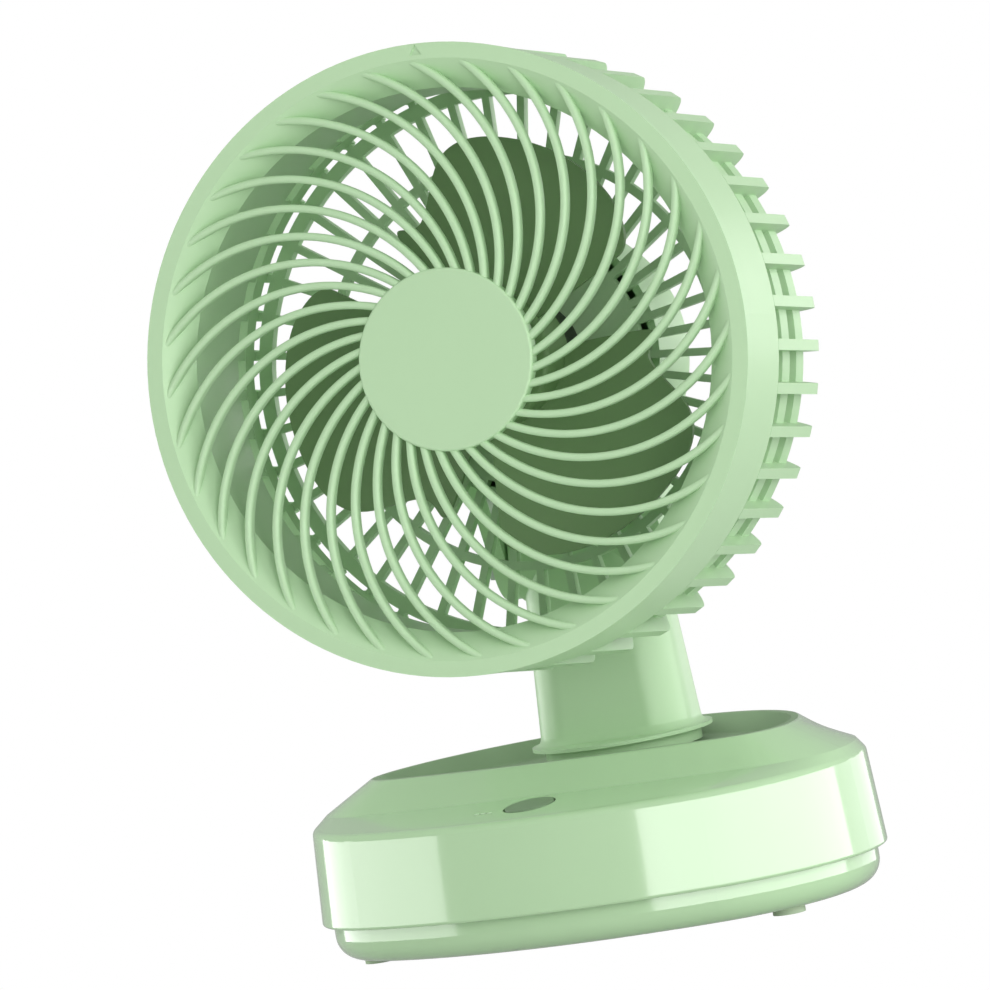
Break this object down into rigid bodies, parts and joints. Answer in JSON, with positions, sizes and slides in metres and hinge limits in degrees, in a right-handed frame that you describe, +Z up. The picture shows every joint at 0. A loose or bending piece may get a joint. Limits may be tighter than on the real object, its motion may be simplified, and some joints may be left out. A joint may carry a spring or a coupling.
{
  "type": "desk fan",
  "caption": "Desk fan: round caged head with spiral front ribs that tilts on a short neck, swivelling on an oval base with a button.",
  "frame": {"origin": "on the surface the fan stands on, under the middle of the box that the whole fan fills", "axes": "+Z up, -Y toward the front ledge and its button, +X to the right seen from the front"},
  "size_m": [0.1786, 0.1475, 0.2492],
  "materials": {
    "mint_satin": "satin moulded plastic",
    "mint_gloss": "glossy moulded plastic",
    "mint_button": "satin moulded plastic",
    "mint_blade": "satin moulded plastic",
    "steel": "bright steel",
    "dark_steel": "dark steel",
    "magnet": "dull grey",
    "bronze": "plain",
    "white_nylon": "plain",
    "black_plastic": "plain",
    "board": "varnished",
    "cell_wrap": "shrunk film",
    "light": "clear white",
    "foot_rubber": "matt"
  },
  "bodies": {
    "base": {"base_upper_shell": "mint_gloss", "base_lower_shell": "mint_gloss", "base_screws": "steel", "rubber_feet": "foot_rubber", "swivel_bush": "bronze", "swivel_motor": "dark_steel", "swivel_motor_screws": "steel", "control_board": "board", "board_screws": "steel", "switch_body": "black_plastic", "indicator_lights": "light", "battery_cells": "cell_wrap", "battery_holder": "black_plastic", "charge_board": "board", "charge_socket": "steel"},
    "neck": {"neck_front_shell": "mint_gloss", "neck_rear_shell": "mint_gloss", "neck_screws": "steel", "friction_washers": "white_nylon", "turntable": "mint_gloss", "turntable_screws": "steel", "swivel_gear": "white_nylon", "swivel_circlip": "dark_steel"},
    "head": {"front_grille": "mint_satin", "rear_grille": "mint_satin", "grille_screws": "steel", "motor_can": "dark_steel", "motor_end_cap": "black_plastic", "motor_bearings": "steel", "motor_magnets": "magnet", "motor_screws": "steel", "rear_housing": "mint_satin", "housing_screws": "steel", "tilt_pin": "steel", "tilt_nut": "steel"},
    "impeller": {"impeller": "mint_blade", "impeller_nut": "black_plastic", "motor_shaft": "steel", "motor_rotor": "dark_steel"},
    "drive": {"drive_pinion": "bronze", "pinion_shaft": "steel"},
    "button": {"button_cap": "mint_button", "switch_plunger": "black_plastic"}
  },
  "joints": [
    {"name": "swivel", "type": "hinge", "parent": "base", "child": "neck", "pos_m": [-0.00771, 0.03477, 0.047], "axis": [0, 0, 1], "range_deg": [-47.8, 32.2]},
    {"name": "tilt", "type": "hinge", "parent": "neck", "child": "head", "pos_m": [-0.00771, 0.03477, 0.1015], "axis": [-0.9907, -0.1357, 0], "range_deg": [-12, 18]},
    {"name": "spin", "type": "hinge", "parent": "head", "child": "impeller", "pos_m": [-0.0003, -0.01934, 0.16017], "axis": [0.1348, -0.9842, 0.1149], "continuous": true},
    {"name": "drive", "type": "hinge", "parent": "base", "child": "drive", "pos_m": [-0.03291, 0.03477, 0.038], "axis": [0, 0, 1], "range_deg": [-150, 150]},
    {"name": "press", "type": "slide", "parent": "base", "child": "button", "axis": [0, 0.1146, -0.9934], "range_m": [0, 0.0006], "stiffness_N_per_m": 800}
  ],
  "couplings": [
    {"joint": "drive", "follows": "swivel", "ratio": -3}
  ]
}
